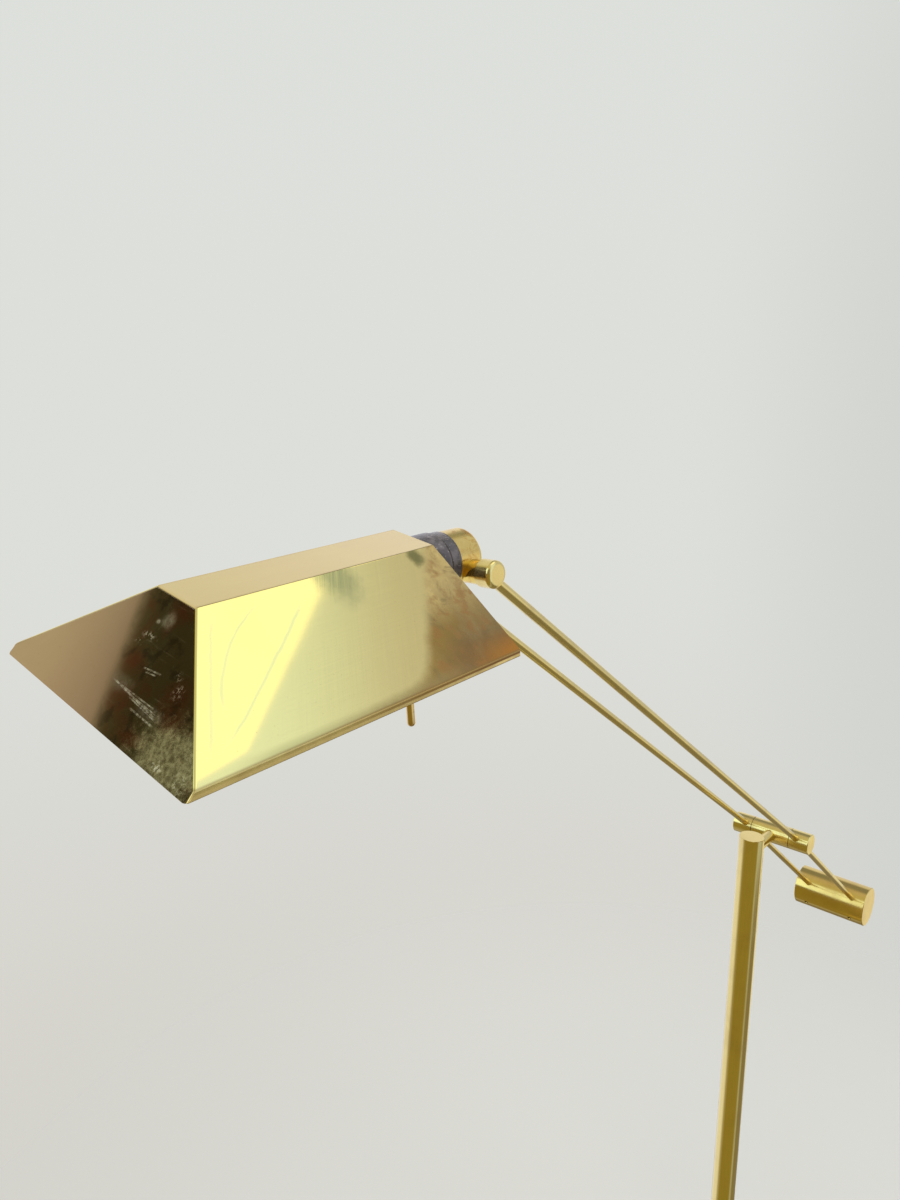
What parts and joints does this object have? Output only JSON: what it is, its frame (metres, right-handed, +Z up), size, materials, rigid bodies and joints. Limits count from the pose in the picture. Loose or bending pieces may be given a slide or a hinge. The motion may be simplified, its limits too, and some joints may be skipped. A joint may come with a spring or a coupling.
{
  "type": "counterbalance floor lamp",
  "caption": "Brass floor lamp with a tilting rod arm balanced by a cylindrical counterweight, a folded tent shade that tilts and rolls, a stem switch and a round weighted foot.",
  "frame": {"origin": "on the floor under the middle of the post", "axes": "+X towards the shade, +Z up, +Y completes the right-handed frame; left and right in node names are as seen facing the lamp from the shade end, so right is +Y"},
  "size_m": [1.1878, 0.28, 1.3364],
  "materials": {
    "polished_brass": "polished, slightly tarnished",
    "aged_brass": "brushed and lacquered, tarnished with brown patina",
    "black_phenolic": "scuffed satin",
    "steel": "turned",
    "cast_iron": "as cast",
    "felt": "felt",
    "nylon": "satin",
    "wire": "satin",
    "frosted_glass": "frosted white inside"
  },
  "bodies": {
    "base": {"base_pad": "felt", "base_weight": "cast_iron", "base_cover": "polished_brass", "base_bush": "polished_brass", "base_nut": "steel", "cord_gland": "black_phenolic", "base_lead": "wire", "swivel_washer": "nylon"},
    "post": {"post_foot": "steel", "spindle_clip": "steel", "post_tube": "polished_brass", "post_top_plug": "polished_brass", "post_cable": "wire", "pivot_neck": "polished_brass", "pivot_tube": "polished_brass", "pivot_bushes": "nylon"},
    "arm": {"pivot_axle": "steel", "arm_collar_left": "polished_brass", "arm_collar_right": "polished_brass", "front_rod_left": "polished_brass", "front_rod_right": "polished_brass", "rear_rod_left": "polished_brass", "rear_rod_right": "polished_brass", "counterweight": "polished_brass", "weight_lid": "polished_brass", "weight_core": "cast_iron", "weight_screws": "steel", "arm_wires": "wire", "head_collar_left": "polished_brass", "head_collar_right": "polished_brass", "head_axle": "steel"},
    "head": {"head_washers": "nylon", "head_barrel": "polished_brass", "socket_cap": "polished_brass", "lamp_holder": "black_phenolic", "retaining_clip": "steel", "switch_body": "nylon", "contact_disc": "nylon", "centre_contact": "polished_brass", "screw_shell": "polished_brass", "holder_leads": "wire", "bulb_cap": "polished_brass", "bulb_glass": "frosted_glass"},
    "shade": {"shade_shell": "aged_brass", "shade_front_panel": "aged_brass", "shade_rear_panel": "aged_brass", "shade_ring_outer": "black_phenolic", "shade_ring_inner": "black_phenolic"},
    "switch": {"switch_stem": "polished_brass"}
  },
  "joints": [
    {"name": "post_swivel", "type": "hinge", "parent": "base", "child": "post", "pos_m": [0, 0, 0.026], "axis": [0, 0, 1], "range_deg": [-170, 170]},
    {"name": "arm_tilt", "type": "hinge", "parent": "post", "child": "arm", "pos_m": [-0.069, 0, 0.879], "axis": [0, -1, 0], "range_deg": [-66, 28]},
    {"name": "head_tilt", "type": "hinge", "parent": "arm", "child": "head", "pos_m": [0.54989, 0, 1.30741], "axis": [0, -1, 0], "range_deg": [-60, 80]},
    {"name": "shade_roll", "type": "hinge", "parent": "head", "child": "shade", "pos_m": [0.5823, 0, 1.31243], "axis": [0.9968, 0, -0.0802], "range_deg": [-34, 56]},
    {"name": "switch_turn", "type": "hinge", "parent": "head", "child": "switch", "pos_m": [0.5933, 0, 1.23731], "axis": [-0.0802, 0, -0.9968], "range_deg": [0, 90]}
  ]
}
